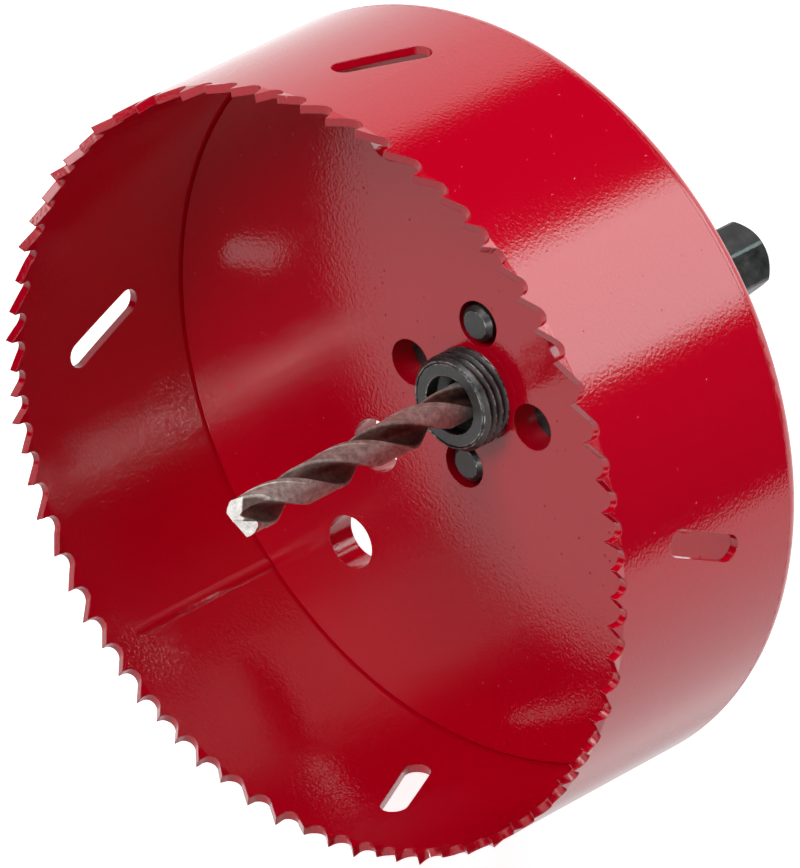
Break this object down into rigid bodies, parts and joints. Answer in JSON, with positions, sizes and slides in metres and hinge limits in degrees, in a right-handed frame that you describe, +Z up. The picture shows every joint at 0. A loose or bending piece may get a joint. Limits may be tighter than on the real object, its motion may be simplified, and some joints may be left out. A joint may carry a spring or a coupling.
{
  "type": "hole saw",
  "caption": "Deep-cut hole saw with a toothed rolled-steel wall, pierced back plate, pilot drill and hexagon-shank arbor with drive pins.",
  "frame": {"origin": "centre of the bounding box in plan, on the surface it rests on", "axes": "+Z up as it lies; the spindle axis leans in the YZ plane, its mouth facing up towards -Y and its shank end down on the floor towards +Y"},
  "size_m": [0.1265, 0.1224, 0.1207],
  "materials": {
    "red_paint": "thick gloss enamel over steel",
    "black_steel": "blackened steel, oiled",
    "drill_steel": "ground high-speed steel"
  },
  "bodies": {
    "root": {"saw_wall": "red_paint", "back_plate": "red_paint", "arbor": "black_steel", "drive_plate": "black_steel", "drive_pins": "black_steel", "lock_nut": "black_steel", "grub_screw": "black_steel", "pilot_drill": "drill_steel"}
  },
  "joints": []
}
